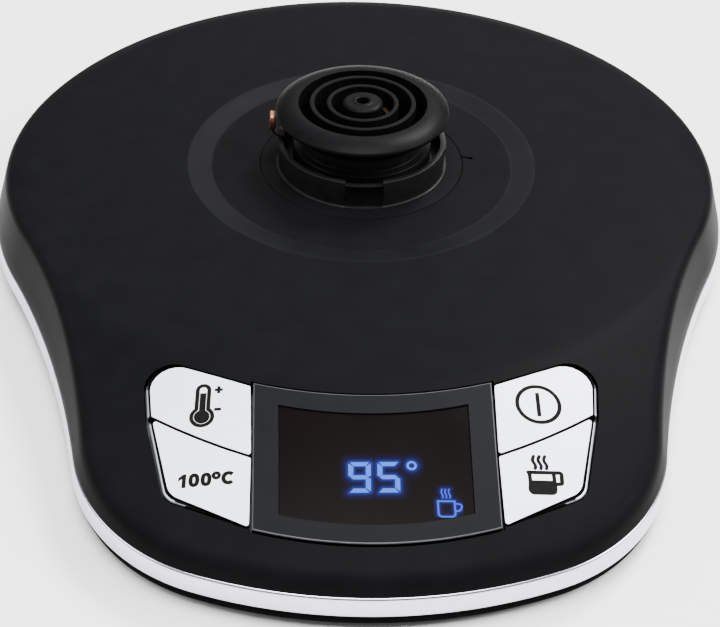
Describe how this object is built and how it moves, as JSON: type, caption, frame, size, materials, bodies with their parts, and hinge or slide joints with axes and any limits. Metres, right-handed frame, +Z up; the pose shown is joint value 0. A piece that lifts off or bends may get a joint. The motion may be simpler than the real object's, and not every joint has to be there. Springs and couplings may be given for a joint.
{
  "type": "kettle power base",
  "caption": "Kettle power base: a round black disc with a mushroom-shaped round connector, and a front lobe sloping under a display and silver keys.",
  "frame": {"origin": "middle of the footprint's bounding box, on the table under the feet", "axes": "+Z up, -Y towards the user's side with the display, +X to the user's right"},
  "size_m": [0.179, 0.2128, 0.0354],
  "materials": {
    "soft_black": "soft-touch matt",
    "black_plastic": "matt",
    "bright_band": "satin bright",
    "rubber": "matt",
    "steel": "zinc plated",
    "connector_black": "satin",
    "contact_metal": "plain",
    "earth_metal": "coppery",
    "frame_black": "semi-gloss",
    "smoked_window": "smoked, glossy",
    "module_white": "matt",
    "blue_light": "lit",
    "board_green": "lacquered",
    "component_black": "matt",
    "key_silver": "satin silver",
    "plate_silver": "satin silver",
    "relay_blue": "glossy",
    "tape_yellow": "taped winding",
    "film_tan": "glossy",
    "block_white": "matt",
    "clamp_grey": "matt",
    "wire_brown": "smooth",
    "wire_blue": "smooth",
    "wire_green": "smooth",
    "wire_grey": "smooth"
  },
  "bodies": {
    "base": {"top_cover": "soft_black", "base_tray": "black_plastic", "trim_band": "bright_band", "rubber_feet": "rubber", "housing_screws": "steel", "connector_body": "connector_black", "connector_head": "connector_black", "connector_base": "black_plastic", "connector_screws": "steel", "centre_contact": "contact_metal", "inner_contact": "contact_metal", "middle_contact": "contact_metal", "earth_terminal": "earth_metal", "display_frame": "frame_black", "display_window": "smoked_window", "display_module": "module_white", "lit_segments": "blue_light", "control_board": "board_green", "control_chip": "component_black", "tact_switches": "component_black", "key_carrier": "clamp_grey", "panel_screws": "steel", "board_plug": "block_white", "power_board": "board_green", "power_board_screws": "steel", "relay": "relay_blue", "transformer": "tape_yellow", "capacitor": "film_tan", "buzzer": "component_black", "terminal_block": "block_white", "terminal_screws": "contact_metal", "cord_clamp": "clamp_grey", "clamp_screws": "steel", "inlet_bush": "rubber", "line_wire": "wire_brown", "neutral_wire": "wire_blue", "earth_wire": "wire_green", "control_harness": "wire_grey"},
    "temperature_rocker": {"temperature_key": "key_silver", "temperature_plate": "plate_silver"},
    "boil_button": {"boil_key": "key_silver", "boil_plate": "plate_silver"},
    "power_button": {"power_key": "key_silver", "power_plate": "plate_silver"},
    "keep_warm_button": {"keep_warm_key": "key_silver", "keep_warm_plate": "plate_silver"},
    "earth_leaf": {"earth_contact": "earth_metal"}
  },
  "joints": [
    {"name": "temperature_rock", "type": "hinge", "parent": "base", "child": "temperature_rocker", "pos_m": [-0.032, -0.06857, 0.01515], "axis": [1, 0, 0], "range_deg": [-2, 2], "stiffness_Nm_per_rad": 0.03},
    {"name": "boil_press", "type": "slide", "parent": "base", "child": "boil_button", "axis": [0, 0.2079, -0.9781], "range_m": [0, 0.0008], "stiffness_N_per_m": 800},
    {"name": "power_press", "type": "slide", "parent": "base", "child": "power_button", "axis": [0, 0.2079, -0.9781], "range_m": [0, 0.0008], "stiffness_N_per_m": 800},
    {"name": "keep_warm_press", "type": "slide", "parent": "base", "child": "keep_warm_button", "axis": [0, 0.2079, -0.9781], "range_m": [0, 0.0008], "stiffness_N_per_m": 800},
    {"name": "earth_leaf_flex", "type": "slide", "parent": "base", "child": "earth_leaf", "axis": [1, 0, 0], "range_m": [0, 0.0005], "stiffness_N_per_m": 500}
  ]
}
